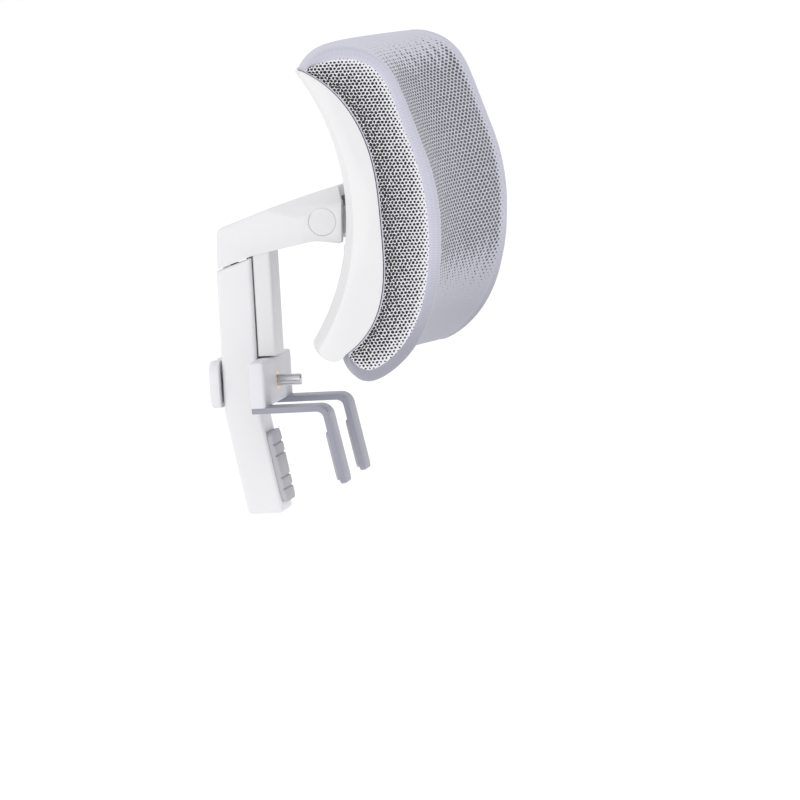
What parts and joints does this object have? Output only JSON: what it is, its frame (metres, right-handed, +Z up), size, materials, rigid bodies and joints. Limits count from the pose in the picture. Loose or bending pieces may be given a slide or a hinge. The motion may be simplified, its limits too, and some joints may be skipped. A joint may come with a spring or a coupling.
{
  "type": "chair headrest attachment",
  "caption": "Clamp-on office-chair headrest: curved padded mesh cushion on a tilting shell, height-sliding arm in a channel post, and a screw clamp with hooks.",
  "frame": {"origin": "centre of the pad face that bears on the back of the chair's top rail", "axes": "+Z up along the height slide, -Y forwards to the sitter's head, +X to the sitter's left"},
  "size_m": [0.27, 0.1458, 0.248],
  "materials": {
    "white_plastic": "satin moulded polypropylene, white",
    "shell_plastic": "satin moulded shell, white",
    "cap_plastic": "satin white cap",
    "knob_plastic": "satin moulded knob, white",
    "carriage_plastic": "satin glass-filled nylon, white",
    "bracket_nylon": "glass-filled nylon, natural white",
    "bush_nylon": "plain nylon bush",
    "washer_fibre": "pressed fibre friction washer",
    "board_plastic": "moulded polypropylene carrier",
    "grip_rubber": "soft grey elastomer",
    "hook_coat": "grey powder-coated steel strap",
    "screw_steel": "zinc-plated steel",
    "hinge_steel": "plated steel",
    "spring_steel": "spring steel",
    "insert_brass": "turned brass",
    "foam": "open-cell cushion foam",
    "mesh_front": "spacer mesh, light grey-lavender",
    "mesh_gusset": "coarse spacer mesh, light grey"
  },
  "bodies": {
    "post": {"post_sleeve": "white_plastic", "tail_pad": "grip_rubber", "detent_spring": "spring_steel", "stop_screw": "screw_steel"},
    "arm": {"arm": "white_plastic", "tilt_pin": "hinge_steel", "tilt_nut": "hinge_steel", "pin_caps": "cap_plastic", "friction_washers": "washer_fibre"},
    "headrest": {"back_shell": "shell_plastic", "tilt_bracket": "bracket_nylon", "tilt_bushes": "bush_nylon", "bracket_screws": "screw_steel", "carrier_board": "board_plastic", "board_inserts": "insert_brass", "board_screws": "screw_steel", "foam_core": "foam", "cover_panel": "mesh_front", "cover_gusset_right": "mesh_gusset", "cover_gusset_left": "mesh_gusset"},
    "knob": {"clamp_knob": "knob_plastic", "clamp_screw": "hinge_steel", "knob_washer": "screw_steel", "screw_clip": "spring_steel"},
    "carriage": {"hook_carriage": "carriage_plastic", "clamp_nut": "insert_brass", "hook_right": "hook_coat", "hook_left": "hook_coat", "hook_screws": "screw_steel", "hook_pads": "grip_rubber"}
  },
  "joints": [
    {"name": "height_slide", "type": "slide", "parent": "post", "child": "arm", "axis": [0, 0, 1], "range_m": [0, 0.03]},
    {"name": "head_tilt", "type": "hinge", "parent": "arm", "child": "headrest", "pos_m": [0, -0.0324, 0.129], "axis": [1, 0, 0], "range_deg": [-14, 16]},
    {"name": "knob_turn", "type": "hinge", "parent": "post", "child": "knob", "pos_m": [0, 0, 0.045], "axis": [0, 1, 0], "range_deg": [0, 4320]},
    {"name": "clamp_slide", "type": "slide", "parent": "post", "child": "carriage", "axis": [0, -1, 0], "range_m": [0, 0.012]}
  ],
  "couplings": [
    {"joint": "knob_turn", "follows": "clamp_slide", "rad_per_m": 6283.2}
  ]
}
